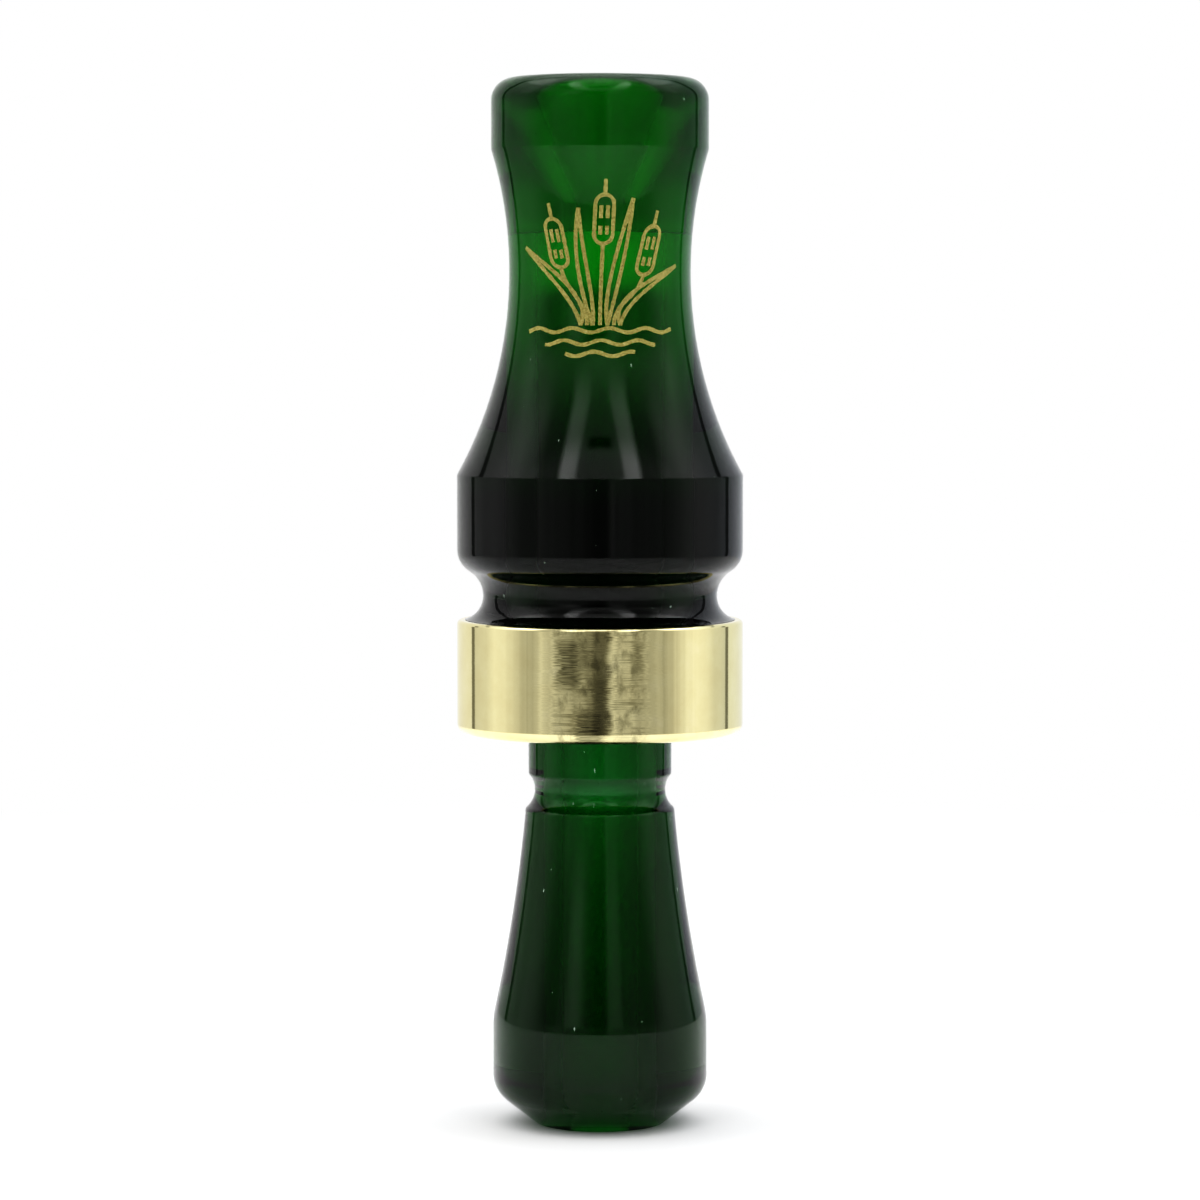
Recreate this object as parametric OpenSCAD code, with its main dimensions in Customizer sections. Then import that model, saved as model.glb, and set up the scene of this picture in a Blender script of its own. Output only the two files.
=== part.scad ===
// Double-reed duck call. A turned barrel carries the mouthpiece and a pressed-on band.
// A turned insert plugs into the barrel on two O-rings, and holds a tone board with
// two reeds that a cork wedge clamps. Millimetres. +Z runs along the call's axis, from
// the insert's end face up to the mouthpiece. The tone board's deck faces -Y.

/* [Barrel] */
// Diameter of the collar, and of the band below it
collar_d = 36; // [35.5:0.5:37]
// Straight height of the collar
collar_land = 9.4; // [6:0.1:12]
// Narrowest diameter of the neck
neck_d = 22.8; // [22:0.1:24]
// Radius of the neck's hollow sweep, from collar to lip
sweep_r = 52.5; // [48:0.5:58]
// Diameter of the mouthpiece lip
lip_d = 27.3; // [27.2:0.1:28.5]
// Height of the mouthpiece lip
lip_h = 8.9; // [7:0.1:11]
// Outer rounding of the lip's rim
rim_round = 2.8; // [1.5:0.1:2.8]
// Wide end of the mouthpiece funnel
mouth_d = 20.6; // [18:0.1:20.6]
// Hole at the bottom of the funnel
breath_d = 6.2; // [5:0.1:9]
// Half angle of the funnel
funnel_angle = 25.3; // [23:0.1:30]
// Diameter of the reed chamber, which the tenon plugs into
bore_d = 15.88; // [15.8:0.01:16]

/* [Lanyard grooves] */
// Bottom diameter of the barrel's cord groove
cord_groove_d = 29.5; // [28.8:0.1:29.8]
// Round radius of the cord groove's upper half, under the collar
cord_groove_r = 3.6; // [3.3:0.1:3.8]
// Round radius of the cord groove's lower half, over the band
cord_groove_low_r = 3.1; // [3.1:0.05:3.4]
// Rounding of the collar's lower edge
collar_round = 3.2; // [2:0.1:4]
// Bottom diameter of the insert's small groove
drop_groove_d = 16.5; // [16:0.1:17]
// Round radius of the insert's small groove
drop_groove_r = 2.9; // [2.5:0.1:3.2]

/* [Band] */
// Height of the band
band_h = 14.3; // [12:0.1:16]
// Wall of the band
band_wall = 1.6; // [1.4:0.1:2]

/* [Insert] */
// Length of the insert that shows below the barrel
shown_len = 49.65; // [49.4:0.05:52]
// Widest diameter of the insert
bell_d = 27.1; // [25:0.1:29]
// Height of the top of the widest part
bell_h = 13.5; // [12:0.1:16]
// Diameter of the flat end face
foot_d = 16.4; // [15:0.1:18]
// Slope of the end's chamfer above the face
foot_angle = 38; // [34:1:42]
// Diameter at the top of the flare
waist_d = 18.9; // [18.5:0.1:19.5]
// Diameter of the neck that meets the barrel
insert_neck_d = 18.06; // [17.6:0.02:18.6]
// Diameter of the exhaust bore
exhaust_d = 9.52; // [8.5:0.01:9.6]

/* [Tone board] */
// Length of the tone board above the tenon
board_len = 39.3; // [37:0.1:40]
// Diameter of the tone board above the tenon
board_d = 14.4; // [13:0.1:14.8]
// Diameter of the tone channel
channel_d = 4.4; // [3.6:0.1:4.8]
// How far the lay curves back from the reeds at the tip
tip_gap = 1.3; // [0.8:0.1:1.6]

/* [Reeds and cork] */
// Width of the reeds
reed_w = 12; // [10:0.5:12]
// Thickness of one reed
reed_t = 0.25; // [0.18:0.01:0.3]
// How much shorter the upper reed is
reed_step = 0.8; // [0.4:0.1:1.6]
// Length of the cork wedge along the deck
cork_len = 11.6; // [9:0.1:11.6]

/* [Hidden] */
$fn = 128;
run = 1; // how far a cutter reaches past the face that it opens

// Radii
collar_r = collar_d / 2;
neck_r = neck_d / 2;
lip_r = lip_d / 2;
mouth_r = mouth_d / 2;
breath_r = breath_d / 2;
bore_r = bore_d / 2;
bell_r = bell_d / 2;
foot_r = foot_d / 2;
waist_r = waist_d / 2;
insert_neck_r = insert_neck_d / 2;
exhaust_r = exhaust_d / 2;
board_r = board_d / 2;
channel_r = channel_d / 2;
spigot_r = collar_r - band_wall;

// Heights of the barrel and band, from the bottom up
seat_gap = 0.05; // between the insert's shoulder and the barrel's end
band_skirt = 0.3; // how far the band hangs past the barrel's end
barrel_z = shown_len + seat_gap;
band_z = barrel_z - band_skirt;
band_top_z = band_z + band_h;
cord_groove_z = band_top_z + 3;
collar_z = cord_groove_z + sqrt(
    pow(cord_groove_r + collar_round, 2)
    - pow(cord_groove_d / 2 + cord_groove_r - collar_r + collar_round, 2)
);
bell_edge_z = collar_z + collar_land;
neck_z = bell_edge_z + sqrt(pow(sweep_r, 2) - pow(sweep_r + neck_r - collar_r, 2));
lip_z = neck_z + sqrt(pow(sweep_r, 2) - pow(sweep_r + neck_r - lip_r, 2));
top_z = lip_z + lip_h;

// Heights inside the barrel
inner_rim_round = 0.8;
funnel_z = top_z - (mouth_r - breath_r) / tan(funnel_angle);
chamber_top_z = funnel_z - 3.9;
entry_chamfer = 0.4;

// Insert
foot_round = 4;
bell_round = 10;
flare_r = 217;
waist_z = shown_len - 10.45;
waist_round = 0.8;
neck_round = 0.5;
drop_groove_z = shown_len - 7.45;
exhaust_flare_r = 6.2;
exhaust_flare_h = 5;
tenon_r = bore_r - 0.09; // a sliding fit in the chamber
tenon_len = 16;
tenon_z = shown_len + tenon_len;
socket_r = 5;
socket_z = tenon_z - 16;

// O-rings, drawn at their squeezed height
o_ring_groove_r = 6.25;
o_ring_groove_w = 2.1;
o_ring_gap = 0.02;
o_ring_section = bore_r - o_ring_groove_r - 2 * o_ring_gap;
o_ring_centre_r = (bore_r + o_ring_groove_r) / 2;
lower_o_ring_z = shown_len + 4.6;
upper_o_ring_z = shown_len + 11.8;

// Tone board, reeds and cork
collar_stub = 4.2; // round part of the tone board that stands on the tenon
board_z = tenon_z + collar_stub;
board_tip_z = tenon_z + board_len;
board_chamfer = 0.8;
deck_y = -1;
undercut = 7; // lean of the wall that the cork tucks under, in degrees
lay_z = board_z + cork_len + 0.2;
lay_r = pow(board_tip_z - lay_z, 2) / (2 * tip_gap);
channel_tip = 5; // solid tip left past the tone channel
drill_point = 59; // half angle of the drill's point, which ends the tone channel
reed_gap = 0.1; // height of the dimple that holds the reeds apart
reed_clip = 2.2;
reed_tip_z = board_tip_z - 0.6;
dimple_z = reed_tip_z - 12;
dimple_r = 0.9;
cork_w = 11.2;
cork_r = 7.35;
cork_front_lean = 28;

// Points of a round stretch, both ends included. Angles in degrees, about 5 degrees apart.
function arc(centre, r, from, to, step = 5) =
    let (n = max(2, ceil(abs(to - from) / step)))
    [for (i = [0:n]) let (a = from + (to - from) * i / n) centre + r * [cos(a), sin(a)]];

// Centre of the rounding that joins a land of radius land_r to a round groove.
// side is 1 for the land above the groove and -1 for the land below it.
function land_centre(groove, groove_r, land_r, round_r, side) =
    [land_r - round_r,
     groove.y + side * sqrt(pow(groove_r + round_r, 2) - pow(groove.x - land_r + round_r, 2))];

function angle_to(from, to) = (atan2(to.y - from.y, to.x - from.x) + 360) % 360;

// Centre of the arc of radius r that runs from p up to q and bows towards the axis
function hollow_centre(p, q, r) =
    let (
        chord = q - p,
        half = norm(chord) / 2,
        outward = [chord.y, -chord.x] / norm(chord)
    )
    (p + q) / 2 + outward * sqrt(r * r - half * half);

// Outline of the barrel: up the outside, over the rim, then down the inside
function barrel_outline() =
    let (
        low_groove = [cord_groove_d / 2 + cord_groove_low_r, cord_groove_z],
        shoulder_angle = 180 + asin((cord_groove_z - band_top_z) / cord_groove_low_r),
        groove = [cord_groove_d / 2 + cord_groove_r, cord_groove_z],
        edge = land_centre(groove, cord_groove_r, collar_r, collar_round, 1),
        sweep = [neck_r + sweep_r, neck_z],
        rim = [lip_r - rim_round, top_z - rim_round],
        inner_rim = [
            mouth_r + inner_rim_round * tan(45 - funnel_angle / 2),
            top_z - inner_rim_round
        ]
    )
    concat(
        [[bore_r + entry_chamfer, barrel_z], [spigot_r, barrel_z], [spigot_r, band_top_z]],
        arc(low_groove, cord_groove_low_r, shoulder_angle, 180),
        arc(groove, cord_groove_r, 180, angle_to(groove, edge)),
        arc(edge, collar_round, angle_to(edge, groove) - 360, 0),
        arc(sweep, sweep_r, angle_to(sweep, [collar_r, bell_edge_z]),
            angle_to(sweep, [lip_r, lip_z]), 2),
        arc(rim, rim_round, 0, 90),
        arc(inner_rim, inner_rim_round, 90, 180 - funnel_angle, 10),
        [[breath_r, funnel_z], [breath_r, chamber_top_z], [bore_r, chamber_top_z],
         [bore_r, barrel_z + entry_chamfer]]
    );

// Outside of the insert from its end face up to the shoulder that meets the barrel
function insert_outside() =
    let (
        foot = [bell_r - foot_round,
                ((bell_r - foot_round - foot_r) * sin(foot_angle) + foot_round) / cos(foot_angle)],
        lean = atan((bell_r - waist_r) / (waist_z - bell_h))
            + asin(norm([bell_r - waist_r, waist_z - bell_h]) / 2 / flare_r),
        bell = [bell_r - bell_round, bell_h - bell_round * tan(lean / 2)],
        flare_start = bell + bell_round * [cos(lean), sin(lean)],
        flare = hollow_centre(flare_start, [waist_r, waist_z], flare_r),
        groove = [drop_groove_d / 2 + drop_groove_r, drop_groove_z],
        below = land_centre(groove, drop_groove_r, waist_r, waist_round, -1),
        above = land_centre(groove, drop_groove_r, insert_neck_r, neck_round, 1)
    )
    concat(
        [[foot_r, 0]],
        arc(foot, foot_round, foot_angle - 90, 0),
        arc(bell, bell_round, 0, lean, 3),
        arc(flare, flare_r, angle_to(flare, flare_start), angle_to(flare, [waist_r, waist_z]), 0.7),
        arc(below, waist_round, 0, angle_to(below, groove), 8),
        arc(groove, drop_groove_r, angle_to(groove, below), angle_to(groove, above)),
        arc(above, neck_round, angle_to(above, groove) - 360, 0, 10),
        [[insert_neck_r, shown_len]]
    );

function o_ring_seat(z) = [
    [tenon_r, z - o_ring_groove_w / 2], [o_ring_groove_r, z - o_ring_groove_w / 2],
    [o_ring_groove_r, z + o_ring_groove_w / 2], [tenon_r, z + o_ring_groove_w / 2]
];

// Outline of the insert: up the outside and the tenon, then down the socket and exhaust bore
function insert_outline() = concat(
    [[exhaust_flare_r, 0]],
    insert_outside(),
    [[tenon_r, shown_len]],
    o_ring_seat(lower_o_ring_z),
    o_ring_seat(upper_o_ring_z),
    [[tenon_r, tenon_z - entry_chamfer], [tenon_r - entry_chamfer, tenon_z],
     [socket_r, tenon_z], [socket_r, socket_z], [exhaust_r, socket_z],
     [exhaust_r, exhaust_flare_h]]
);

module barrel() {
    color("darkgreen", 0.85) rotate_extrude() polygon(barrel_outline());
}

module band() {
    foot_corner = 1.25;
    top_corner = 0.55;
    color("gold") rotate_extrude() polygon(concat(
        [[spigot_r, band_z]],
        arc([collar_r - foot_corner, band_z + foot_corner], foot_corner, -90, 0, 10),
        arc([collar_r - top_corner, band_top_z - top_corner], top_corner, 0, 90, 15),
        [[spigot_r, band_top_z]]
    ));
}

module insert() {
    color("darkgreen", 0.85) rotate_extrude() polygon(insert_outline());
}

module o_ring(z) {
    color("dimgray") translate([0, 0, z]) rotate_extrude()
        translate([o_ring_centre_r, 0]) circle(d = o_ring_section);
}

// Side view (Y, Z) of the space above the deck: the undercut wall, the flat, then the lay
function deck_space() =
    let (outer_y = -board_r - run)
    concat(
        [[outer_y, board_z + (deck_y - outer_y) * tan(undercut)], [deck_y, board_z]],
        [for (i = [0:12]) let (z = lay_z + (board_tip_z - lay_z) * i / 12)
            [deck_y + pow(z - lay_z, 2) / (2 * lay_r), z]],
        [[deck_y + tip_gap, board_tip_z + run], [outer_y, board_tip_z + run]]
    );

// Extrudes a (Y, Z) outline along X, centred on the axis
module across(width) {
    rotate([90, 0, 90]) linear_extrude(width, center = true) children();
}

module tone_board() {
    color("black") difference() {
        rotate_extrude() polygon([
            [0, socket_z], [socket_r, socket_z], [socket_r, tenon_z],
            [board_r, tenon_z], [board_r, board_tip_z - 3 * board_chamfer],
            [board_r - board_chamfer, board_tip_z], [0, board_tip_z]
        ]);
        rotate_extrude() polygon([
            [0, socket_z - run], [channel_r, socket_z - run],
            [channel_r, board_tip_z - channel_tip],
            [0, board_tip_z - channel_tip + channel_r * tan(90 - drill_point)]
        ]);
        across(2 * board_d) polygon(deck_space());
    }
}

// Plan of a reed (X, Z), square at the wall and clipped at the tip
module reed_plan(tip_z) {
    w = reed_w / 2;
    polygon([
        [-w, board_z + 0.1], [w, board_z + 0.1], [w, tip_z - reed_clip],
        [w - reed_clip, tip_z], [reed_clip - w, tip_z], [-w, tip_z - reed_clip]
    ]);
}

module lower_reed() {
    color("ivory") translate([0, deck_y, 0]) rotate([90, 0, 0])
        linear_extrude(reed_t) reed_plan(reed_tip_z);
}

module upper_reed() {
    near_y = deck_y - reed_t - reed_gap;
    color("white") difference() {
        union() {
            translate([0, near_y, 0]) rotate([90, 0, 0])
                linear_extrude(reed_t) reed_plan(reed_tip_z - reed_step);
            translate([0, near_y + reed_gap, dimple_z]) rotate([90, 0, 0])
                cylinder(r = dimple_r, h = reed_gap + reed_t / 2);
        }
        translate([0, near_y - reed_t + reed_gap, dimple_z]) rotate([90, 0, 0])
            cylinder(r = dimple_r - 0.2, h = reed_gap + run);
    }
}

module cork_wedge() {
    base_y = deck_y - 2 * reed_t - reed_gap;
    top_y = -cork_r - run;
    wall_z = board_z + 0.05;
    color("burlywood") intersection() {
        cylinder(r = cork_r, h = top_z);
        across(cork_w) polygon([
            [base_y, wall_z + (deck_y - base_y) * tan(undercut)],
            [top_y, wall_z + (deck_y - top_y) * tan(undercut)],
            [top_y, board_z + cork_len - (base_y - top_y) * tan(cork_front_lean)],
            [base_y, board_z + cork_len]
        ]);
    }
}

barrel();
band();
insert();
o_ring(lower_o_ring_z);  // lower_o_ring
o_ring(upper_o_ring_z);  // upper_o_ring
tone_board();
lower_reed();
upper_reed();
cork_wedge();
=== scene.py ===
"""Looks for the duck call: turned acrylic barrel and insert, brass band, gold-filled engraving,
O-rings, tone board, reeds and cork, on a white table in a plain soft studio."""

import math

import bpy
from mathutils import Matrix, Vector, noise


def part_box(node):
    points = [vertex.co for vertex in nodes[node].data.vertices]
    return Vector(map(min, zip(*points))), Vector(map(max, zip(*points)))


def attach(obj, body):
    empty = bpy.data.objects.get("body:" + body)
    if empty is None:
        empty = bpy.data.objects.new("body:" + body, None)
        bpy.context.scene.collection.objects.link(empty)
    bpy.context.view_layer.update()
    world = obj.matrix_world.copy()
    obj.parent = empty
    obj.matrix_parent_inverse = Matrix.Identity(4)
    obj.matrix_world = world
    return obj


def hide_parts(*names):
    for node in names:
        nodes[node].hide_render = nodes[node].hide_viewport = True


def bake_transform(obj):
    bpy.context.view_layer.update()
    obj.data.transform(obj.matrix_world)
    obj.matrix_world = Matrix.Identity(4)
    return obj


MM = 0.001
PER_METRE = 1000.0

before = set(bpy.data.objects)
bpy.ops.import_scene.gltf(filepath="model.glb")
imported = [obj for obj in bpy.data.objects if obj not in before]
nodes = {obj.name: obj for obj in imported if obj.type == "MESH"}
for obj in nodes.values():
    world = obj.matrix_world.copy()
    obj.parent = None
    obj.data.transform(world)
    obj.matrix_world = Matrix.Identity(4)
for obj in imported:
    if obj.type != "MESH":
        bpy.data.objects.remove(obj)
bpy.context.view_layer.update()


# ---------------------------------------------------------------- outlines of turned parts

MERGE_WITHIN = 0.02 * MM
LOOK_BACK = 40
LONGEST_CUT = 0.4
MITRE_LIMIT = 0.5


def merged(points):
    """Maps each (radius, height) point to the first one found within MERGE_WITHIN of it."""
    kept = []
    place = {}
    for p in sorted(set(points)):
        near = [k for k in kept[-LOOK_BACK:] if math.dist(k, p) < MERGE_WITHIN]
        if not near:
            kept.append(p)
        place[p] = near[0] if near else p
    return place


def turned_outline(node):
    """(radius, height) points round a turned CAD node, in order, anticlockwise from its lowest point."""
    mesh = nodes[node].data
    points = [(round(math.hypot(v.co.x, v.co.y), 6), round(v.co.z, 6)) for v in mesh.vertices]
    place = merged(points)
    beside = {}
    for edge in mesh.edges:
        a, b = (place[points[i]] for i in edge.vertices)
        if a != b:
            beside.setdefault(a, set()).add(b)
            beside.setdefault(b, set()).add(a)
    start = min(beside, key=lambda p: (p[1], p[0]))
    walk = [start]
    here = max(beside[start])
    while here != start:
        walk.append(here)
        ahead = [p for p in beside[here] if p not in walk[-2:] and (p not in walk or p == start)]
        here = min(ahead, key=lambda p: math.dist(p, here)) if ahead else start
    return walk


def unit(dx, dy):
    length = math.hypot(dx, dy)
    return dx / length, dy / length


def turn(a, b, c):
    """Angle in degrees that the path a, b, c turns at b."""
    first, second = unit(b[0] - a[0], b[1] - a[1]), unit(c[0] - b[0], c[1] - b[1])
    return math.degrees(math.acos(max(-1, min(1, first[0] * second[0] + first[1] * second[1]))))


def inset(outline, skin):
    """The closed outline moved inwards by skin, so that mating parts keep a hair's gap."""
    moved = []
    for i, p in enumerate(outline):
        a, c = outline[i - 1], outline[(i + 1) % len(outline)]
        first, second = unit(p[0] - a[0], p[1] - a[1]), unit(c[0] - p[0], c[1] - p[1])
        nx, ny = -first[1] - second[1], first[0] + second[0]
        scale = skin * 2 / max(MITRE_LIMIT, nx * nx + ny * ny)
        moved.append((p[0] + nx * scale, p[1] + ny * scale))
    return moved


def softened(outline, radius, sharp=11, steps=4):
    """The closed outline with each corner that turns by `sharp` degrees or more rounded off."""
    smooth = []
    for i, p in enumerate(outline):
        a, c = outline[i - 1], outline[(i + 1) % len(outline)]
        bend = turn(a, p, c)
        if bend < sharp:
            smooth.append(p)
            continue
        cut = min(radius * math.tan(math.radians(bend / 2)),
                  LONGEST_CUT * math.dist(a, p), LONGEST_CUT * math.dist(p, c))
        before, after = unit(a[0] - p[0], a[1] - p[1]), unit(c[0] - p[0], c[1] - p[1])
        start = (p[0] + before[0] * cut, p[1] + before[1] * cut)
        end = (p[0] + after[0] * cut, p[1] + after[1] * cut)
        for k in range(steps + 1):
            t = k / steps
            smooth.append(tuple(
                (1 - t) ** 2 * s + 2 * t * (1 - t) * m + t ** 2 * e for s, m, e in zip(start, p, end)
            ))
    return smooth


def new_piece(name, vertices, faces, shader):
    """A new mesh object with its material, in the scene."""
    mesh = bpy.data.meshes.new(name)
    mesh.from_pydata(vertices, [], faces)
    mesh.update()
    mesh.materials.append(shader)
    piece = bpy.data.objects.new(name, mesh)
    bpy.context.scene.collection.objects.link(piece)
    return piece


def lathe(name, outline, shader, finish, segments=288):
    """A closed turned piece. Its normals follow the longer stretch at each ring, so flats stay flat.

    finish(radius, height) gives how matt the surface is and how much it darkens, both from 0 to 1.
    The darkening is greying on drilled faces, and painted shade in the reed chamber.
    """
    rings = len(outline)
    vertices = []
    normals = []
    matt = []
    dull_and_shade = []
    for i, (r, z) in enumerate(outline):
        a, c = outline[i - 1], outline[(i + 1) % rings]
        nr, nz = c[1] - a[1], a[0] - c[0]
        nr, nz = unit(nr, nz) if (nr or nz) else (1, 0)
        # The second finish number darkens the surface: greying on drilled faces, painted shade in the
        # chamber.
        ring_matt, ring_dull_and_shade = finish(r, z)
        matt += [ring_matt] * segments
        dull_and_shade += [ring_dull_and_shade] * segments
        for s in range(segments):
            turned = 2 * math.pi * s / segments
            vertices.append((r * math.cos(turned), r * math.sin(turned), z))
            normals.append((nr * math.cos(turned), nr * math.sin(turned), nz))
    faces = []
    for i in range(rings):
        low, high = i * segments, (i + 1) % rings * segments
        for s in range(segments):
            t = (s + 1) % segments
            faces.append((low + s, low + t, high + t, high + s))
    piece = new_piece(name, vertices, faces, shader)
    mesh = piece.data
    mesh.polygons.foreach_set("use_smooth", [True] * len(faces))
    mesh.attributes.new("matt", "FLOAT", "POINT").data.foreach_set("value", matt)
    mesh.attributes.new("dull_and_shade", "FLOAT", "POINT").data.foreach_set("value", dull_and_shade)
    mesh.update()
    mesh.normals_split_custom_set_from_vertices(normals)
    return piece


# ---------------------------------------------------------------- node trees


class Tree:
    """Short calls for building a node tree."""

    def __init__(self, owner):
        owner.use_nodes = True
        self.tree = owner.node_tree
        self.tree.nodes.clear()

    def add(self, kind, inputs=None, **settings):
        node = self.tree.nodes.new(kind)
        for key, value in settings.items():
            setattr(node, key, value)
        for key, value in (inputs or {}).items():
            if isinstance(value, bpy.types.NodeSocket):
                self.tree.links.new(value, node.inputs[key])
            else:
                node.inputs[key].default_value = value
        return node

    def math(self, operation, a, b=0.0):
        return self.add("ShaderNodeMath", {0: a, 1: b}, operation=operation).outputs[0]

    def remap(self, value, low, high, to_low=0.0, to_high=1.0, smooth=False):
        kind = "SMOOTHSTEP" if smooth else "LINEAR"
        inputs = {0: value, 1: low, 2: high, 3: to_low, 4: to_high}
        return self.add("ShaderNodeMapRange", inputs, interpolation_type=kind, clamp=True).outputs[0]

    def ramp(self, value, stops):
        """Colours or brightnesses along value, from (value, colour) stops."""
        node = self.add("ShaderNodeValToRGB", {0: value})
        ramp = node.color_ramp
        while len(ramp.elements) > 1:
            ramp.elements.remove(ramp.elements[-1])
        ramp.elements[0].position, ramp.elements[0].color = stops[0][0], rgba(stops[0][1])
        for position, colour in stops[1:]:
            ramp.elements.new(position).color = rgba(colour)
        return node.outputs[0]

    def mix(self, factor, a, b):
        inputs = {0: factor, 6: rgba(a) if isinstance(a, (tuple, float)) else a,
                  7: rgba(b) if isinstance(b, (tuple, float)) else b}
        return self.add("ShaderNodeMix", inputs, data_type="RGBA").outputs[2]

    def noise(self, vector, scale, detail=3.0, roughness=0.5):
        inputs = {"Vector": vector, "Scale": scale, "Detail": detail, "Roughness": roughness}
        return self.add("ShaderNodeTexNoise", inputs).outputs[0]

    def stretched(self, vector, x, y, z):
        return self.add("ShaderNodeMapping", {"Vector": vector, "Scale": (x, y, z)}).outputs[0]

    def bump(self, height, strength, distance):
        inputs = {"Height": height, "Strength": strength, "Distance": distance}
        return self.add("ShaderNodeBump", inputs).outputs[0]

    def vector_math(self, operation, a, b=(0.0, 0.0, 0.0)):
        return self.add("ShaderNodeVectorMath", {0: a, 1: b}, operation=operation).outputs[0]

    def scaled(self, vector, factor):
        inputs = {0: vector, "Scale": factor}
        return self.add("ShaderNodeVectorMath", inputs, operation="SCALE").outputs[0]

    def turned_position(self):
        """(angle round Z, radius, height) of the shaded point, in the object's own frame, in mm."""
        place = self.add("ShaderNodeTexCoord").outputs["Object"]
        xyz = self.add("ShaderNodeSeparateXYZ", {0: place}).outputs
        angle = self.math("ARCTAN2", xyz[0], self.math("MULTIPLY", xyz[1], -1.0))
        radius = self.math("SQRT", self.math("ADD", self.math("MULTIPLY", xyz[0], xyz[0]),
                                             self.math("MULTIPLY", xyz[1], xyz[1])))
        return angle, self.math("MULTIPLY", radius, PER_METRE), self.math("MULTIPLY", xyz[2], PER_METRE)

    def vector(self, x, y, z):
        return self.add("ShaderNodeCombineXYZ", {0: x, 1: y, 2: z}).outputs[0]

    def object_mm(self):
        """The shaded point in the object's own frame, in mm."""
        place = self.add("ShaderNodeTexCoord").outputs["Object"]
        return self.stretched(place, PER_METRE, PER_METRE, PER_METRE)


def rgba(colour):
    """A brightness or a colour as the four numbers that a socket takes."""
    if isinstance(colour, (int, float)):
        colour = (colour,) * 3
    return (*colour, 1.0) if len(colour) == 3 else tuple(colour)


def material(name):
    made = bpy.data.materials.new(name)
    return made, Tree(made)


def finish_material(tree, shader, volume=None):
    output = tree.add("ShaderNodeOutputMaterial", {"Surface": shader})
    if volume is not None:
        tree.tree.links.new(volume, output.inputs["Volume"])


# ---------------------------------------------------------------- materials

ACRYLIC_INDEX = 1.49
DRILLED_ROUGHNESS = 0.58
NICK_EDGE = 0.025
# The milky haze grows up the neck: partly haze, partly painted light that makes its upper part lighter.
HAZE_RISE = 20
HAZIEST = 0.05
# How strongly the acrylic absorbs by height, as (mm, factor) pairs. No factor is over DEEPEST.
# Their rise and fall with height is painted shade and painted light.
DEEPEST = 2.4
BARREL_DYE_AND_SHADE = (
    (69, 1.87), (70, 2.25), (78.5, 2.25), (80.5, 1.72), (88, 1.62), (95, 1.70), (103, 1.80), (109, 1.65),
    (111.9, 1.55), (112.8, 1.0), (115, 1.15), (118, 1.08), (123, 1.40), (124.3, 1.60), (126, 1.68),
    (128, 1.76), (132, 1.85),
)
INSERT_DYE_AND_SHADE = (
    (2, 0.85), (4, 0.97), (7, 0.93), (20, 0.92), (27, 1.03), (31, 1.10), (38, 1.13), (40.5, 1.0),
    (50, 1.0),
)
# The band's darker scuffs, as (angle, half width, bottom, top, depth), in radians and mm.
SCUFFS = (
    (-0.215, 0.085, 56.3, 62.4, 0.80), (-0.12, 0.045, 58.5, 62.0, 0.50), (0.26, 0.035, 57.8, 62.2, 0.60),
    (-0.075, 0.095, 48.0, 53.8, 0.80), (0.0, 0.050, 50.0, 58.0, 0.55), (0.17, 0.050, 48.0, 50.5, 0.35),
)
SCUFF_EDGE = 0.015
SCUFF_FADE = 0.8


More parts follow.
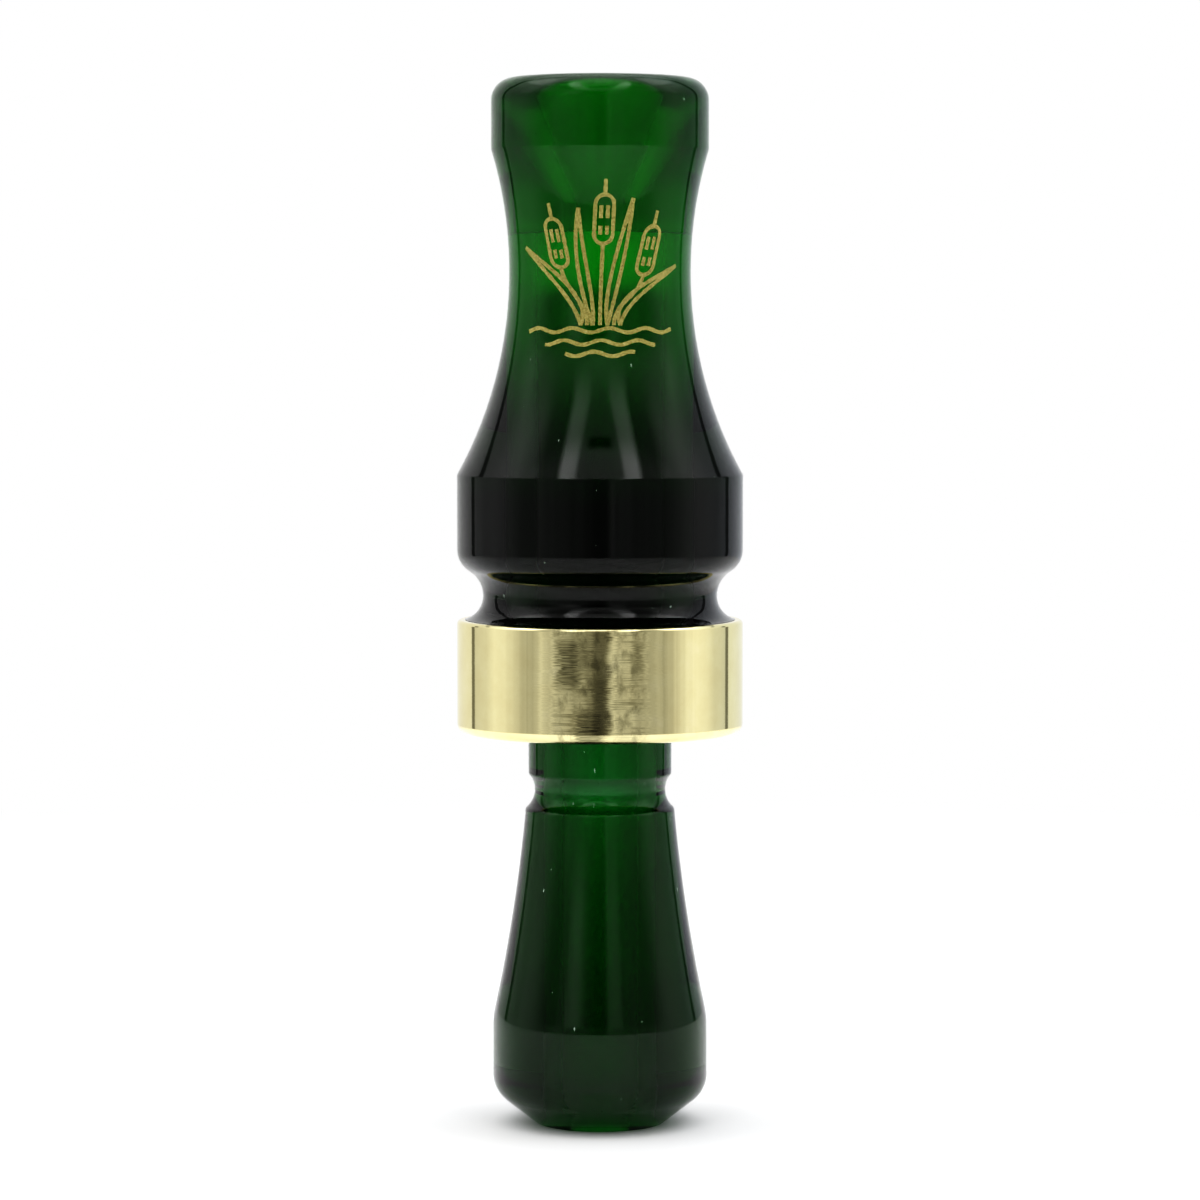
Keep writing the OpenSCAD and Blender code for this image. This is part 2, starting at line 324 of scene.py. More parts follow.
def acrylic(name, absorbed, depth, hazy_from=None, nicked=0.735):
    """Clear cast acrylic, polished outside and matt where it is drilled, with a few small nicks.

    absorbed is what it takes out of red, green and blue per millimetre, and depth, as (mm, factor)
    pairs by height, multiplies that; its rise and fall with height is painted shade and painted light.
    A faint milky haze starts at the height hazy_from and grows for HAZE_RISE mm, partly haze and
    partly painted light that makes the upper neck lighter. A lower nicked gives more nicks.
    """
    made, t = material(name)
    place = t.object_mm()
    matt = t.add("ShaderNodeAttribute", attribute_name="matt").outputs["Fac"]
    dull_and_shade = t.add("ShaderNodeAttribute", attribute_name="dull_and_shade").outputs["Fac"]
    angle, radius, height = t.turned_position()
    haze = t.noise(place, 0.35, 4.0)
    polish = t.remap(haze, 0.35, 0.7, 0.012, 0.045)
    roughness = t.add("ShaderNodeMix", {0: matt, 2: polish, 3: DRILLED_ROUGHNESS}).outputs[0]
    rings = t.vector(t.math("MULTIPLY", angle, 0.6), radius, t.math("MULTIPLY", height, 9.0))
    tool_marks = t.noise(rings, 1.0, 2.0)
    flutes = t.vector(t.math("MULTIPLY", angle, 3.0), 0.0, t.math("MULTIPLY", height, 0.25))
    waviness = t.noise(flutes, 1.0, 1.0)
    bored = t.bump(tool_marks, t.math("MULTIPLY", matt, 0.25), 0.00004)
    normal = t.add("ShaderNodeBump", {"Height": waviness, "Strength": 0.08, "Distance": 0.00006,
                                      "Normal": bored}).outputs[0]
    # The base colour darkens with the second finish number: greying on drilled faces, painted shade in
    # the reed chamber.
    glass = t.add("ShaderNodeBsdfPrincipled", {
        "Base Color": t.mix(dull_and_shade, 1.0, 0.0), "Roughness": roughness, "IOR": ACRYLIC_INDEX,
        "Transmission Weight": 1.0, "Normal": normal,
    }).outputs[0]
    specks = t.noise(t.stretched(place, 1.0, 1.0, 0.45), 1.1, 3.0, 0.6)
    nick = t.remap(specks, nicked, nicked + NICK_EDGE)
    chipped = t.add("ShaderNodeBsdfDiffuse", {"Color": (0.55, 0.68, 0.58, 1)}).outputs[0]
    worn = t.math("MULTIPLY", nick, t.remap(matt, 0.0, 0.5, 0.6, 0.0))
    shader = t.add("ShaderNodeMixShader", {0: worn, 1: glass, 2: chipped}).outputs[0]
    # A milky layer that grows with height: partly haze, partly painted light on the upper neck.
    if hazy_from is not None:
        milky = t.add("ShaderNodeBsdfDiffuse", {"Color": (0.005, 0.5, 0.04, 1)}).outputs[0]
        rising = t.remap(height, hazy_from, hazy_from + HAZE_RISE, 0.0, HAZIEST)
        haze_and_painted_light = t.math("MULTIPLY", rising, t.remap(matt, 0, 1, 1, 0))
        shader = t.add("ShaderNodeMixShader", {0: haze_and_painted_light, 1: shader, 2: milky}).outputs[0]
    strongest = max(absorbed) * 1.02
    kept = tuple(1 - a / strongest for a in absorbed)
    top = depth[-1][0]
    # The absorption's rise and fall with height is painted shade and painted light.
    dye_and_shade = t.ramp(t.math("DIVIDE", height, top), [(z / top, factor / DEEPEST) for z, factor in depth])
    density = t.math("MULTIPLY", dye_and_shade, DEEPEST * strongest / MM)
    volume = t.add("ShaderNodeVolumeAbsorption", {"Color": rgba(kept), "Density": density}).outputs[0]
    finish_material(t, shader, volume)
    return made


def brass(name):
    """Polished brass with straight turning marks.

    Its front is rubbed: fine scratches round the ring drag the reflections sideways there, and the
    metal has darker scuffs. The side facing the camera is also darkened in mottled, scratched
    patches: wear, and painted reflection of the dark camera end.
    """
    made, t = material(name)
    angle, _, height = t.turned_position()
    from_front = t.math("ABSOLUTE", angle)

    fine_place = t.vector(t.math("MULTIPLY", angle, 2.2), 0.0, t.math("MULTIPLY", height, 6.0))
    fine = t.noise(fine_place, 1.0, 2.0, 0.6)
    broad_place = t.vector(t.math("MULTIPLY", angle, 1.5), 3.0, t.math("MULTIPLY", height, 0.22))
    broad = t.noise(broad_place, 1.0, 1.0)
    fine_drag = t.remap(fine, 0.25, 0.75, -0.035, 0.035)
    drag = t.math("ADD", fine_drag, t.remap(broad, 0.3, 0.7, -0.012, 0.012))
    rubbed = t.remap(from_front, 0.30, 0.55, 1.0, 0.06, smooth=True)
    face = t.add("ShaderNodeNewGeometry").outputs["Normal"]
    round_the_axis = t.vector_math("CROSS_PRODUCT", (0, 0, 1), face)
    tilted = t.vector_math("ADD", face, t.scaled(round_the_axis, t.math("MULTIPLY", drag, rubbed)))
    upwards = t.scaled(t.vector(0.0, 0.0, 1.0), t.remap(fine, 0.25, 0.75, -0.008, 0.008))
    normal = t.vector_math("NORMALIZE", t.vector_math("ADD", tilted, upwards))

    smear_place = t.vector(t.math("MULTIPLY", angle, 5.0), 4.0, t.math("MULTIPLY", height, 7.0))
    smear = t.noise(smear_place, 1.0, 2.0, 0.6)
    ragged = t.remap(smear, 0.3, 0.7, -0.045, 0.045)
    scuffed = 0.0
    for middle, half_width, bottom, top, depth in SCUFFS:
        beside = t.math("ADD", t.math("ABSOLUTE", t.math("SUBTRACT", angle, middle)), ragged)
        across = t.remap(beside, half_width - SCUFF_EDGE, half_width + SCUFF_EDGE, depth, 0.0)
        half_height = (top - bottom) / 2
        above = t.math("ABSOLUTE", t.math("SUBTRACT", height, (bottom + top) / 2))
        along = t.remap(above, half_height - SCUFF_FADE, half_height + SCUFF_FADE, 1.0, 0.0)
        scuffed = t.math("MAXIMUM", scuffed, t.math("MULTIPLY", across, along))
    scuffed = t.math("MULTIPLY", scuffed, t.remap(smear, 0.35, 0.6, 0.45, 1.0))
    # The side facing the camera is darkened in mottled and scratched patches: wear, and painted
    # reflection of the dark camera end.
    mottle_place = t.vector(t.math("MULTIPLY", angle, 12.0), 6.0, t.math("MULTIPLY", height, 0.45))
    mottled_painted_reflection = t.remap(t.noise(mottle_place, 1.0, 3.0, 0.6), 0.46, 0.66, 0.0, 0.5)
    scratched = t.remap(fine, 0.52, 0.66, 0.0, 0.42)
    in_front = t.remap(from_front, 0.28, 0.36, 1.0, 0.0)
    worn = t.math("MULTIPLY", t.math("MAXIMUM", mottled_painted_reflection, scratched), in_front)
    wear_and_painted_reflection = t.math("MAXIMUM", scuffed, worn)

    cloud = t.noise(t.object_mm(), 0.25, 4.0, 0.6)
    gold = t.ramp(cloud, [(0.3, (0.88, 0.80, 0.46)), (0.55, (0.92, 0.85, 0.50)),
                          (0.75, (0.95, 0.88, 0.55))])
    # Wear and painted reflection pull the colour towards near black.
    colour = t.mix(wear_and_painted_reflection, gold, (0.055, 0.055, 0.035))
    roughness = t.math("ADD", t.remap(fine, 0.4, 0.8, 0.035, 0.07), t.remap(cloud, 0.4, 0.7, 0.0, 0.02))
    shader = t.add("ShaderNodeBsdfPrincipled", {
        "Base Color": colour, "Metallic": 1.0, "Roughness": roughness, "Normal": normal,
    }).outputs[0]
    finish_material(t, shader)
    return made


def gold_paint(name):
    """Gold powder paint rubbed into the engraving: grainy, with brighter and darker flakes."""
    made, t = material(name)
    place = t.object_mm()
    speckle = t.noise(place, 4.5, 4.0, 0.7)
    patches = t.noise(place, 0.9, 2.0)
    grain = t.ramp(speckle, [(0.34, (0.16, 0.135, 0.035)), (0.45, (0.40, 0.35, 0.115)),
                             (0.58, (0.56, 0.50, 0.19)), (0.75, (0.80, 0.74, 0.38))])
    colour = t.mix(t.remap(patches, 0.35, 0.65, 0.0, 0.35), grain, (0.36, 0.32, 0.10))
    normal = t.bump(speckle, 0.6, 0.00006)
    shader = t.add("ShaderNodeBsdfPrincipled", {
        "Base Color": colour, "Metallic": 0.5, "Roughness": 0.42, "Normal": normal,
    }).outputs[0]
    finish_material(t, shader)
    return made


def rubber(name):
    made, t = material(name)
    place = t.object_mm()
    grain = t.noise(place, 6.0, 3.0)
    colour = t.ramp(grain, [(0.3, (0.008, 0.008, 0.009)), (0.7, (0.018, 0.018, 0.019))])
    shader = t.add("ShaderNodeBsdfPrincipled", {
        "Base Color": colour, "Roughness": t.remap(grain, 0.3, 0.7, 0.35, 0.5),
        "Normal": t.bump(grain, 0.2, 0.00002),
    }).outputs[0]
    finish_material(t, shader)
    return made


def moulded_plastic(name):
    made, t = material(name)
    place = t.object_mm()
    grain = t.noise(place, 5.0, 4.0, 0.6)
    flow = t.noise(t.stretched(place, 1, 1, 0.15), 0.8, 2.0)
    colour = t.ramp(flow, [(0.3, (0.012, 0.013, 0.013)), (0.7, (0.022, 0.023, 0.024))])
    shader = t.add("ShaderNodeBsdfPrincipled", {
        "Base Color": colour, "Roughness": t.remap(grain, 0.3, 0.7, 0.26, 0.4),
        "Normal": t.bump(grain, 0.25, 0.00002),
    }).outputs[0]
    finish_material(t, shader)
    return made


def reed_film(name):
    made, t = material(name)
    place = t.object_mm()
    rubbed = t.noise(t.stretched(place, 1, 1, 0.25), 2.5, 4.0, 0.6)
    colour = t.ramp(rubbed, [(0.3, (0.89, 0.90, 0.87)), (0.7, (0.93, 0.93, 0.90))])
    shader = t.add("ShaderNodeBsdfPrincipled", {
        "Base Color": colour, "Roughness": t.remap(rubbed, 0.3, 0.7, 0.22, 0.36), "IOR": 1.6,
        "Transmission Weight": 0.2, "Normal": t.bump(rubbed, 0.03, 0.00001),
    }).outputs[0]
    finish_material(t, shader)
    return made


def cork(name):
    made, t = material(name)
    place = t.object_mm()
    cells = t.add("ShaderNodeTexVoronoi", {"Vector": place, "Scale": 2.2, "Randomness": 1.0}).outputs
    granules = t.add("ShaderNodeTexVoronoi", {"Vector": place, "Scale": 0.75, "Randomness": 1.0}).outputs
    fine = t.noise(place, 3.0, 5.0, 0.7)
    tone = t.ramp(granules["Color"], [(0.1, (0.36, 0.20, 0.085)), (0.5, (0.50, 0.30, 0.14)),
                                      (0.9, (0.62, 0.41, 0.21))])
    pits = t.remap(fine, 0.56, 0.66, 0.0, 0.85)
    colour = t.mix(pits, tone, (0.13, 0.06, 0.025))
    height = t.math("SUBTRACT", cells["Distance"], t.math("MULTIPLY", pits, 0.8))
    shader = t.add("ShaderNodeBsdfPrincipled", {
        "Base Color": colour, "Roughness": 0.78, "Normal": t.bump(height, 0.5, 0.00012),
    }).outputs[0]
    finish_material(t, shader)
    return made


barrel_green = acrylic("barrel_green", (0.60, 0.10, 0.42), BARREL_DYE_AND_SHADE, hazy_from=88)
insert_green = acrylic("insert_green", (0.65, 0.18, 0.43), INSERT_DYE_AND_SHADE, nicked=0.715)
polished_brass = brass("polished_brass")
engraving_gold = gold_paint("engraving_gold")
o_ring_rubber = rubber("o_ring_rubber")
tone_board_plastic = moulded_plastic("tone_board_plastic")
film = reed_film("reed_film")
wedge_cork = cork("wedge_cork")


# ---------------------------------------------------------------- turned parts

SKIN = 0.012 * MM
ACRYLIC_EDGE = 0.25 * MM
BAND_EDGE = 0.08 * MM
RING_EDGE = 0.02 * MM

barrel_low, barrel_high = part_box("barrel")
bore_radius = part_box("upper_o_ring")[1].x + 0.05 * MM
mouth_radius = barrel_high.x - 7.7 * MM
shoulder_z = barrel_low.z
chamber_end_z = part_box("tone_board")[1].z + 8 * MM
exhaust_radius = 5.5 * MM

# Finishes as (matt, darkening): greying on the funnel and tenon, painted shade in the reed chamber.
POLISHED = (0.0, 0.0)
FUNNEL = (0.35, 0.3)
TENON = (1.0, 0.35)
CHAMBER_MATT = 1.0
# Painted shade in the reed chamber: its darkening at the open bottom, fading to none at its end.
CHAMBER_PAINTED_SHADE = 0.55


def polished(r, z):
    """A finish function gives the finish at a radius and height of a turned piece."""
    return POLISHED


def barrel_finish(r, z):
    """The reed chamber is matt, with painted shade that darkens it towards its open bottom, fading
    out at its end. The funnel is smooth but not polished.
    """
    outside = r > bore_radius + 0.1 * MM and z < chamber_end_z + MM
    chamber_end_face = chamber_end_z - MM < z < chamber_end_z and r < bore_radius - 0.2 * MM
    if outside or chamber_end_face:
        return POLISHED
    if z < chamber_end_z:
        # Painted shade, darkest at the chamber's open bottom.
        return CHAMBER_MATT, CHAMBER_PAINTED_SHADE * (chamber_end_z - z) / (chamber_end_z - barrel_low.z)
    in_funnel = r < mouth_radius and z < barrel_high.z - 0.5 * MM
    return FUNNEL if in_funnel else POLISHED


def insert_finish(r, z):
    """The tenon and the exhaust bore are matt, and the rest is polished."""
    return TENON if z > shoulder_z or r < exhaust_radius else POLISHED


def turned_piece(node, body, shader, edge, finish=polished):
    """A finer copy of a turned CAD node, a hair smaller and with its corners softened."""
    outline = softened(inset(turned_outline(node), SKIN), edge)
    piece = lathe(node + "_turned", outline, shader, finish)
    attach(piece, body)
    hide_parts(node)


turned_piece("barrel", "barrel", barrel_green, ACRYLIC_EDGE, barrel_finish)
turned_piece("insert", "insert", insert_green, ACRYLIC_EDGE, insert_finish)
turned_piece("band", "barrel", polished_brass, BAND_EDGE)
turned_piece("lower_o_ring", "seals", o_ring_rubber, RING_EDGE)
turned_piece("upper_o_ring", "seals", o_ring_rubber, RING_EDGE)


# ---------------------------------------------------------------- CAD nodes that keep their shape

BEVEL_FROM = math.radians(35)

for name, shader, edge in (("tone_board", tone_board_plastic, 0.12), ("cork_wedge", wedge_cork, 0.18)):
    node = nodes[name]
    node.data.materials.clear()
    node.data.materials.append(shader)
    bevel = node.modifiers.new("edge", "BEVEL")
    bevel.width = edge * MM
    bevel.segments = 2
    bevel.limit_method = "ANGLE"
    bevel.angle_limit = BEVEL_FROM


# ---------------------------------------------------------------- reeds

REED_CLIP = 2.2 * MM
REED_SKIN = 0.004 * MM
DIMPLE_RADIUS = 0.9 * MM
lower_reed_low, lower_reed_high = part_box("lower_reed")
reed_thickness = lower_reed_high.y - lower_reed_low.y
dimple_z = lower_reed_high.z - 12 * MM


def reed(name, node, dimple_depth=0.0, columns=48, rows=116):
    """A thin sheet with clipped corners, fine enough to bend from the cork's front to its tip.

    node is the CAD node that it replaces.
    """
    low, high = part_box(node)
    near, far = low.y + REED_SKIN, low.y + reed_thickness - REED_SKIN
    vertices = []
    for y in (near, far):
        for i in range(rows + 1):
            z = low.z + (high.z - low.z) * i / rows
            half = high.x - max(0, z - (high.z - REED_CLIP))
            for k in range(columns + 1):
                x = half * (2 * k / columns - 1)
                reach = min(1, math.hypot(x, z - dimple_z) / DIMPLE_RADIUS)
                pressed = dimple_depth * (0.5 + 0.5 * math.cos(math.pi * reach))
                vertices.append((x, y + pressed, z))
    width = columns + 1
    sheet = (rows + 1) * width
    faces = []
    for i in range(rows):
        for k in range(columns):
            a = i * width + k
            faces.append((a, a + 1, a + width + 1, a + width))
            faces.append((a + sheet, a + sheet + width, a + sheet + width + 1, a + sheet + 1))
    bottom = list(range(width))
    right = [i * width + columns for i in range(1, rows)]
    top = [rows * width + k for k in range(columns, -1, -1)]
    left = [i * width for i in range(rows - 1, 0, -1)]
    rim = bottom + right + top + left
    for a, b in zip(rim, rim[1:] + rim[:1]):
        faces.append((a, a + sheet, b + sheet, b))
    piece = new_piece(name, vertices, faces, film)
    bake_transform(piece)
    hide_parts(node)


reed("lower_reed_sheet", "lower_reed")
reed("upper_reed_sheet", "upper_reed", dimple_depth=0.09 * MM)


# ---------------------------------------------------------------- engraving on the neck

EMBLEM_Z = 107.6 * MM
LINE_WIDTH = 0.5 * MM
LINE_PITCH = 0.28 * MM
LINE_DEPTH = 0.08 * MM
LINE_PROUD = 0.02 * MM
CLOSED_WITHIN = 0.01 * MM
RAGGED = 0.34
RAGS_PER_MM = 3


def neck_radius(outline, z):
    """Outside radius of the turned outline at height z."""
    reach = [a[0] + (b[0] - a[0]) * (z - a[1]) / (b[1] - a[1])
             for a, b in zip(outline, outline[1:]) if min(a[1], b[1]) <= z < max(a[1], b[1])]
    return max(reach)


def bezier(a, b, c, d, steps=22):
    """Points along a cubic curve with ends a and d."""
    curve = []
    for i in range(steps + 1):
        t = i / steps
        u = 1 - t
        curve.append(tuple(u ** 3 * p + 3 * u * u * t * q + 3 * u * t * t * r + t ** 3 * s
                           for p, q, r, s in zip(a, b, c, d)))
    return curve


def capsule(x, y, half_width, half_height, lean, steps=10):
    """Closed outline of a leaning capsule."""
    straight = half_height - half_width
    ring = []
    for side in (1, -1):
        for i in range(steps + 1):
            a = math.pi * i / steps
            px, py = side * half_width * math.cos(a), side * (straight + half_width * math.sin(a))
            ring.append((x + px + lean * py, y + py))
    return ring + ring[:1]


def cattail(x, y, lean, root):
    """Strokes of one cattail: a spike, a seed head with two lines of seeds, and its stem."""
    top, foot = (x + lean * 3.0, y + 3.0), (x - lean * 3.0, y - 3.0)
    strokes = [
        capsule(x, y, 1.15, 3.0, lean),
        [top, (top[0] + lean * 2.0, top[1] + 1.9)],
        bezier(foot, (foot[0] - lean * 3, foot[1] - 3), (root[0], root[1] + 3), root),
    ]
    for side in (-0.4, 0.42):
        strokes.append([(x + side + lean * 1.7, y + 1.7), (x + side + lean * 0.1, y + 0.1)])
        strokes.append([(x + side - lean * 0.8, y - 0.8), (x + side - lean * 1.9, y - 1.9)])
    return strokes


def blade(root, tip, bow, width):
    """Strokes of one long leaf: both edges, from the root to a sharp tip."""
    middle = ((root[0] + tip[0]) / 2 + bow, (root[1] + tip[1]) / 2 + 1.5)
    left = bezier(root, (root[0] + 0.3 * bow - width, root[1] + 3), (middle[0] - width, middle[1]), tip)
    right = bezier(root, (root[0] + 0.3 * bow + width, root[1] + 3), (middle[0] + width, middle[1]), tip)
    return [left, right]


def ripple(y, half_width, phase, steps=40):
    """A level wavy line."""
    across = [half_width * (2 * i / steps - 1) for i in range(steps + 1)]
    return [(x, y + 0.28 * math.sin(phase + 1.35 * x)) for x in across]


def marsh_strokes():
    """A stand of cattails over water, in mm across and up from the emblem's centre."""
    strokes = cattail(-5.6, 3.1, -0.22, (-1.6, -7.0))
    strokes += cattail(0.5, 6.0, 0.05, (0.0, -7.0))
    strokes += cattail(6.3, 2.2, 0.26, (1.7, -7.0))
    strokes += blade((-2.4, -7.0), (-10.6, 2.6), 0.9, 0.95)
    strokes += blade((-0.9, -7.0), (-2.7, 7.4), -1.2, 0.75)
    strokes += blade((0.9, -7.0), (4.2, 8.6), 0.2, 0.75)
    strokes += blade((2.5, -7.0), (11.0, 0.4), -0.8, 0.95)
    strokes += [ripple(-7.6, 9.8, 0.0), ripple(-9.1, 7.2, 1.4), ripple(-10.5, 4.4, 2.6)]
    return strokes


def resampled(points, pitch):
    """The same path with points about pitch apart, corners kept."""
    path = [points[0]]
    for a, b in zip(points, points[1:]):
        count = max(1, round(math.dist(a, b) / pitch))
        step = (b[0] - a[0]) / count, (b[1] - a[1]) / count
        path += [(a[0] + step[0] * i, a[1] + step[1] * i) for i in range(1, count + 1)]
    return path


def engraving(outline):
    """Each stroke as a thin bar that follows the neck's surface, with ragged edges."""
    vertices = []
    faces = []
    for stroke in marsh_strokes():
        path = resampled([(x * MM, y * MM) for x, y in stroke], LINE_PITCH)
        closed = math.dist(path[0], path[-1]) < CLOSED_WITHIN
        if closed:
            path = path[:-1]
        first = len(vertices)
        for i, (x, y) in enumerate(path):
            back = path[i - 1] if closed or i else path[i]
            ahead = path[(i + 1) % len(path)] if closed or i < len(path) - 1 else path[i]
            ux, uy = unit(ahead[0] - back[0], ahead[1] - back[1])
            for side in (-1, 1):
                rough = noise.noise(Vector((x, y, side * 0.01 * MM)) * RAGS_PER_MM / MM)
                half = side * LINE_WIDTH / 2 * (1 + RAGGED * rough)
                u, z = x - uy * half, EMBLEM_Z + y + ux * half
                r = neck_radius(outline, z)
                for lift in (LINE_PROUD, -LINE_DEPTH):
                    a = u / r
                    vertices.append(((r + lift) * math.sin(a), -(r + lift) * math.cos(a), z))
        steps = len(path) if closed else len(path) - 1
        for i in range(steps):
            a, b = first + 4 * i, first + 4 * ((i + 1) % len(path))
            faces += [(a, a + 2, b + 2, b), (a + 3, a + 1, b + 1, b + 3),
                      (a + 1, a, b, b + 1), (a + 2, a + 3, b + 3, b + 2)]
        if not closed:
            last = first + 4 * steps
            faces += [(first, first + 1, first + 3, first + 2), (last + 2, last + 3, last + 1, last)]
    piece = new_piece("neck_engraving", vertices, faces, engraving_gold)
    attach(piece, "barrel")


engraving(turned_outline("barrel"))


# ---------------------------------------------------------------- studio

TABLE_RADIUS = 0.42
TABLE_EVEN = 0.16
TABLE_DROP = 0.02 * MM
TABLE_SIDES = 128

# How bright each part of the room is, as (aside, brightness) stops. See studio() for aside.
GAP = [
    (121.5, 0.25), (125.5, 0.25), (126.5, 0.88), (138, 0.90), (150, 0.90), (165, 0.95), (180, 0.97),
]
LEFT_WALL = [
    (0, 0.20), (5, 0.20), (10, 0.33), (16, 0.42), (24, 0.48), (34, 0.58), (44, 0.68), (50, 0.67),
    (56, 0.54), (61, 0.53), (70, 0.70), (82, 0.92), (94, 0.98), (104, 0.80), (113, 0.77), (120.5, 0.72),
]
RIGHT_WALL = [
    (0, 0.20), (5, 0.22), (8, 0.50), (10, 0.80), (13, 0.56), (20, 0.62), (29, 0.46), (36, 0.51),
    (48, 0.55), (55, 0.48), (64, 0.74), (76, 0.96), (84, 1.02), (96, 0.95), (105, 0.78), (113, 0.77),
    (120.5, 0.72),
]
UPPER_WALLS = [
    (0, 1.05), (20, 0.80), (33, 0.70), (46, 0.75), (60, 0.95), (73, 1.10), (87, 1.50), (102, 1.00),
    (120.5, 0.80),
]
CEILING = [
    (0, 0.60), (8, 0.70), (13, 1.70), (26, 2.00), (33, 0.40), (50, 0.50), (62, 1.20), (80, 1.70),
    (100, 1.50), (120.5, 1.00),
]
# The lamps are narrow bands on the walls. Their stops multiply the wall's brightness.
LEFT_LAMP = [
    (0, 0.20), (16, 0.60), (23, 1.90), (34, 1.80), (42, 0.90), (50, 0.55), (62, 0.70), (78, 1.00),
]
RIGHT_LAMP = [
    (0, 0.20), (8, 0.70), (13, 1.35), (21, 1.35), (27, 0.85), (40, 0.80), (60, 0.65), (78, 1.00),
]
TOP_LIGHT = 1.8
SEAM_LIGHT = 0.06
COOL = (0.97, 1.0, 1.05)


def table():
    """A round white table whose edge melts into the white backdrop."""
    made, t = material("table_white")
    matt = t.add("ShaderNodeBsdfPrincipled", {
        "Base Color": (0.95, 0.95, 0.95, 1), "Roughness": 0.6, "Specular IOR Level": 0.2,
    }).outputs[0]
    _, radius, _ = t.turned_position()
    outwards = t.remap(radius, TABLE_EVEN / MM, 0.9 * TABLE_RADIUS / MM, smooth=True)
    glow = t.add("ShaderNodeEmission", {"Color": (1, 1, 1, 1), "Strength": 1.0}).outputs[0]
    surface = t.add("ShaderNodeMixShader", {0: outwards, 1: matt, 2: glow}).outputs[0]
    finish_material(t, surface)
    turns = [2 * math.pi * i / TABLE_SIDES for i in range(TABLE_SIDES)]
    rim = [(TABLE_RADIUS * math.cos(a), TABLE_RADIUS * math.sin(a), 0) for a in turns]
    top = new_piece("table", rim, [tuple(range(TABLE_SIDES))], made)
    top.location.z = -TABLE_DROP


def light_ramp(t, angle, stops):
    """Brightness along a wall, from (degrees, brightness) stops."""
    shares = [(degrees / 180, light) for degrees, light in stops]
    return t.ramp(t.math("DIVIDE", angle, 180.0), shares)


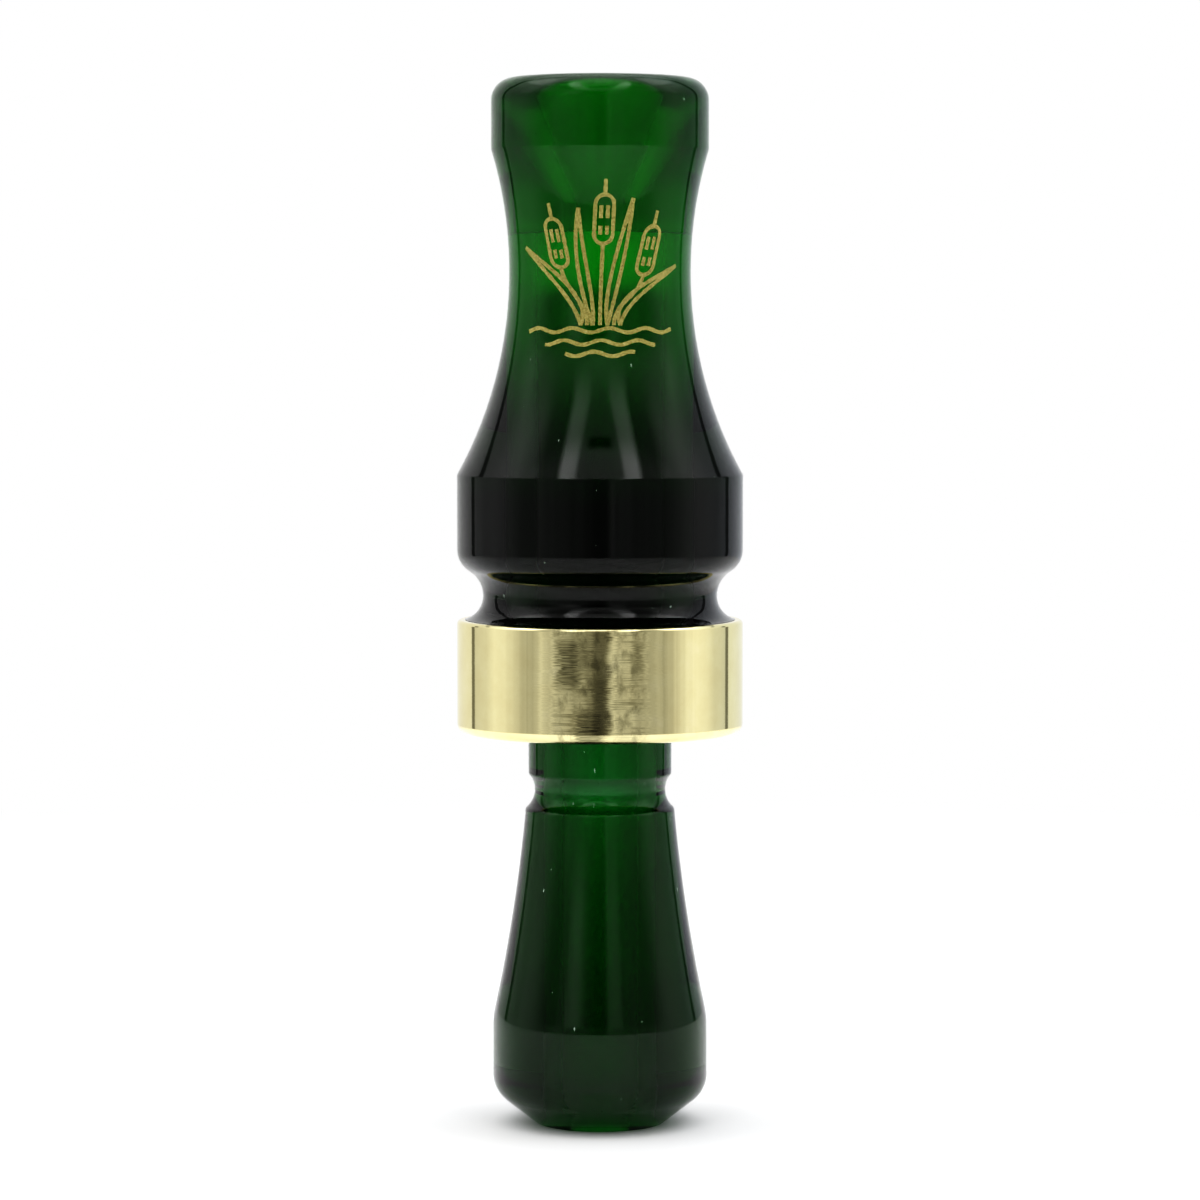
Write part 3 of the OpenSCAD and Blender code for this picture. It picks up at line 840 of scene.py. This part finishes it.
def studio():
    """A white room with a narrow dark gap in each side wall and the dim camera end in front.

    aside runs from 0 degrees at the camera's end to 180 behind the call, and climb is the height in
    degrees. From below upwards the room has the walls, their upper part, the ceiling and the top light.
    """
    world = bpy.data.worlds.new("studio")
    bpy.context.scene.world = world
    t = Tree(world)
    way = t.add("ShaderNodeTexCoord").outputs["Generated"]
    xyz = t.add("ShaderNodeSeparateXYZ", {0: way}).outputs
    towards_camera = t.math("MULTIPLY", xyz[1], -1.0)
    aside = t.math("DEGREES", t.math("ARCTAN2", t.math("ABSOLUTE", xyz[0]), towards_camera))
    climb = t.math("DEGREES", t.math("ARCSINE", xyz[2]))
    on_right = t.math("GREATER_THAN", xyz[0], 0.0)

    # The walls, with soft bars towards the camera's end and a lamp on each side.
    left = light_ramp(t, aside, LEFT_WALL + GAP)
    right = light_ramp(t, aside, RIGHT_WALL + GAP)
    bar_place = t.vector(t.math("MULTIPLY", aside, 0.22), xyz[0], 0.0)
    bars = t.remap(t.noise(bar_place, 1.0, 2.0), 0.25, 0.75, 0.8, 1.2)
    walls = t.mix(on_right, left, right)
    walls = t.scaled(walls, t.mix(t.remap(aside, 60.0, 90.0), bars, 1.0))
    lamps = t.mix(on_right, light_ramp(t, aside, LEFT_LAMP), light_ramp(t, aside, RIGHT_LAMP))
    lamp_height = t.math("MULTIPLY", t.remap(climb, 5.0, 9.0), t.remap(climb, 24.0, 17.0))
    walls = t.scaled(walls, t.mix(lamp_height, 1.0, lamps))

    # Their upper part starts lower down away from the camera's end.
    upper = light_ramp(t, aside, UPPER_WALLS + GAP)
    lifted = t.math("ADD", climb, t.remap(aside, 40.0, 80.0, 0.0, 5.0))
    walls = t.mix(t.remap(lifted, 16.0, 25.0, smooth=True), walls, upper)

    # The ceiling's lights spread out as they rise, and a dark seam crosses the camera's end.
    rise = t.math("MAXIMUM", t.math("SUBTRACT", climb, 33.0), 0.0)
    spread = t.math("SUBTRACT", aside, t.math("MULTIPLY", rise, 0.8))
    ceiling = light_ramp(t, spread, CEILING + GAP)
    ceiling = t.scaled(ceiling, t.remap(climb, 43.0, 49.0, 1.0, 1.8))
    room = t.mix(t.remap(climb, 22.0, 38.0, smooth=True), walls, ceiling)
    room = t.mix(t.remap(climb, 60.0, 72.0, smooth=True), room, TOP_LIGHT)
    seam = t.math("MULTIPLY", t.remap(climb, 43.5, 45.0), t.remap(climb, 48.0, 46.5))
    lit = t.mix(t.math("MULTIPLY", seam, t.remap(aside, 16.0, 9.0)), room, SEAM_LIGHT)

    # The far right end is a little cooler, and the camera itself sees plain white.
    cool = t.math("MULTIPLY", t.remap(xyz[0], 0.0, 0.4), t.remap(xyz[1], 0.0, 0.5))
    tint = t.mix(cool, (1.0, 1.0, 1.0), COOL)
    tinted = {0: 1.0, 6: lit, 7: tint}
    lit = t.add("ShaderNodeMix", tinted, data_type="RGBA", blend_type="MULTIPLY").outputs[2]
    seen = t.add("ShaderNodeLightPath").outputs["Is Camera Ray"]
    colour = t.mix(seen, lit, 1.0)
    background = t.add("ShaderNodeBackground", {"Color": colour, "Strength": 1.0}).outputs[0]
    t.add("ShaderNodeOutputWorld", {"Surface": background})


table()
studio()


def camera():
    """Looks along +Y from a little above."""
    aim = Vector((0, 0, 66.1 * MM))
    distance = 554 * MM
    rise = math.radians(3.5)
    data = bpy.data.cameras.new("camera")
    data.sensor_width = 36
    data.lens = 132
    data.clip_start = 0.01
    data.clip_end = 20
    made = bpy.data.objects.new("camera", data)
    away = Vector((0, -math.cos(rise), math.sin(rise)))
    made.location = aim + away * distance
    made.rotation_mode = "QUATERNION"
    made.rotation_quaternion = (-away).to_track_quat("-Z", "Y")
    bpy.context.scene.collection.objects.link(made)
    bpy.context.scene.camera = made


camera()


def tone_curve(settings, points):
    """Bends the picture's brightness through (in, out) points."""
    settings.use_curve_mapping = True
    mapping = settings.curve_mapping
    curve = mapping.curves[3]
    for x, y in points:
        curve.points.new(x, y)
    mapping.update()


scene = bpy.context.scene
scene.view_settings.view_transform = "Standard"
tone_curve(scene.view_settings, [(0.05, 0.013), (0.135, 0.0685), (0.2, 0.127), (0.4, 0.33), (0.8, 0.78)])
scene.cycles.max_bounces = 24
scene.cycles.transmission_bounces = 20
scene.cycles.glossy_bounces = 12
